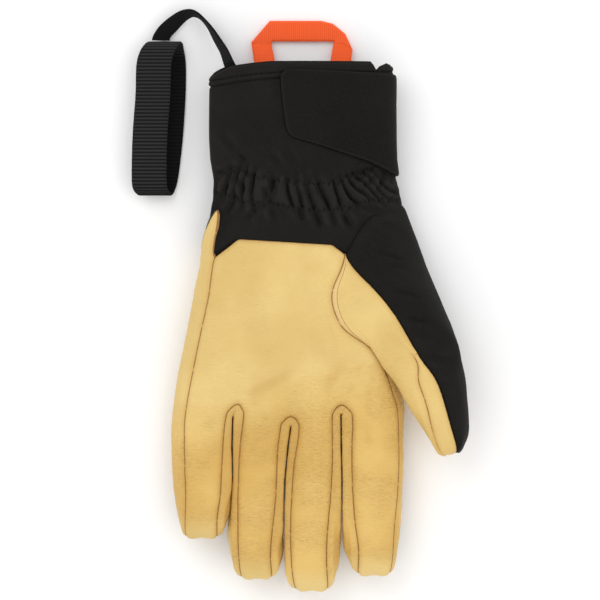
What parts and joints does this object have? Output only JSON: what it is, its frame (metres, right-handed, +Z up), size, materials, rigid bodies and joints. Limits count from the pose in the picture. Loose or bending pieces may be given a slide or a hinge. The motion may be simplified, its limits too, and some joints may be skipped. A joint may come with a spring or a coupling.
{
  "type": "leather-palm ski glove",
  "caption": "Left ski glove lying palm up: tan leather palm and fingers, black cloth back, gathered cuff with closure tab, orange hanging loop and black wrist leash.",
  "frame": {"origin": "on the resting plane, under the middle of the palm, where the back of the hand lies flat", "axes": "+Z up, the way the palm faces; +Y toward the cuff's mouth, fingertips at -Y; +X toward the thumb"},
  "size_m": [0.1785, 0.3084, 0.0454],
  "materials": {
    "palm_leather": "fine-pebbled full-grain leather",
    "little_side_strip": "fine-pebbled full-grain leather",
    "index_side_strip": "fine-pebbled full-grain leather",
    "fourchette_little_ring": "fine-pebbled full-grain leather",
    "fourchette_ring_middle": "fine-pebbled full-grain leather",
    "fourchette_middle_index": "fine-pebbled full-grain leather",
    "hand_back": "matt woven softshell",
    "thumb_leather": "fine-pebbled full-grain leather",
    "thumb_side_strip": "fine-pebbled full-grain leather",
    "thumb_back": "matt woven softshell",
    "cuff": "matt woven softshell, gathered by elastic rows",
    "closure_tab": "matt woven face",
    "hang_loop": "ribbed orange webbing",
    "leash_strap": "flat woven webbing",
    "wrist_band": "ribbed elastic webbing"
  },
  "bodies": {
    "root": {"palm_leather": "palm_leather", "little_side_strip": "little_side_strip", "index_side_strip": "index_side_strip", "fourchette_little_ring": "fourchette_little_ring", "fourchette_ring_middle": "fourchette_ring_middle", "fourchette_middle_index": "fourchette_middle_index", "hand_back": "hand_back", "thumb_leather": "thumb_leather", "thumb_side_strip": "thumb_side_strip", "thumb_back": "thumb_back", "cuff": "cuff", "closure_tab": "closure_tab", "hang_loop": "hang_loop", "leash_strap": "leash_strap", "wrist_band": "wrist_band"}
  },
  "joints": []
}
